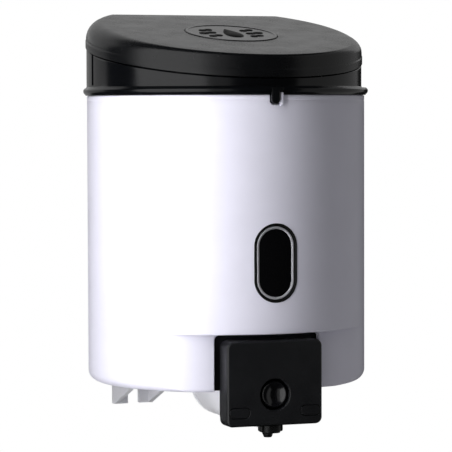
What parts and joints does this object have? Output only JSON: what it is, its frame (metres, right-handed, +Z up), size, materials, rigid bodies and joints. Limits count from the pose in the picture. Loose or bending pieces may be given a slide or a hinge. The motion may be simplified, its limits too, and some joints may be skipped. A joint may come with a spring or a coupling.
{
  "type": "wall mounted soap dispenser",
  "caption": "Wall mounted liquid soap dispenser: round white housing with sight window, hinged black lid over a refill tank, and a push-button piston pump with a spout below.",
  "frame": {"origin": "on the wall, at the middle of the back face of the wall bracket's plate", "axes": "+Z up, +Y into the wall, -Y towards the user, +X to the user's right"},
  "size_m": [0.1296, 0.1147, 0.1876],
  "materials": {
    "housing_white": "glossy moulded ABS",
    "bracket_white": "satin moulded ABS",
    "window_smoked": "polished smoked acrylic",
    "tank_translucent": "natural translucent polypropylene",
    "silicone": "translucent silicone",
    "rubber_black": "moulded rubber",
    "lid_black": "satin moulded ABS with a fine grain",
    "pump_black": "matte moulded plastic with a fine grain",
    "button_black": "polished moulded plastic",
    "nozzle_black": "satin moulded plastic",
    "pump_white": "satin moulded acetal",
    "steel": "bright zinc plated or stainless steel"
  },
  "bodies": {
    "housing": {"wall_bracket": "bracket_white", "body_shell": "housing_white", "sight_window": "window_smoked", "window_gasket": "rubber_black", "reservoir": "tank_translucent", "tank_gasket": "rubber_black", "inlet_valve": "silicone", "collar": "lid_black", "hinge_pin": "steel", "latch_spring": "steel", "pump_chassis": "pump_black", "pump_cover": "pump_black", "pump_barrel": "pump_white", "barrel_cap": "pump_white", "stem_seal": "rubber_black", "return_spring": "steel", "nozzle": "nozzle_black", "screw_plug_left": "pump_black", "screw_plug_right": "pump_black", "cover_screw_left": "steel", "cover_screw_right": "steel", "chassis_screw_left": "steel", "chassis_screw_right": "steel"},
    "lid": {"lid": "lid_black", "lid_badge": "lid_black"},
    "latch": {"lid_latch": "lid_black"},
    "button": {"push_button": "button_black", "piston": "pump_white", "piston_seal": "rubber_black"}
  },
  "joints": [
    {"name": "lid_hinge", "type": "hinge", "parent": "housing", "child": "lid", "pos_m": [0, -0.0085, 0.09], "axis": [-1, 0, 0], "range_deg": [0, 98]},
    {"name": "latch_slide", "type": "slide", "parent": "housing", "child": "latch", "axis": [0, 1, 0], "range_m": [0, 0.0025], "stiffness_N_per_m": 400, "springref_m": -0.002, "deforming": ["latch_spring"]},
    {"name": "button_press", "type": "slide", "parent": "housing", "child": "button", "axis": [0, 1, 0], "range_m": [0, 0.006], "stiffness_N_per_m": 700, "springref_m": -0.004, "deforming": ["return_spring"]}
  ]
}
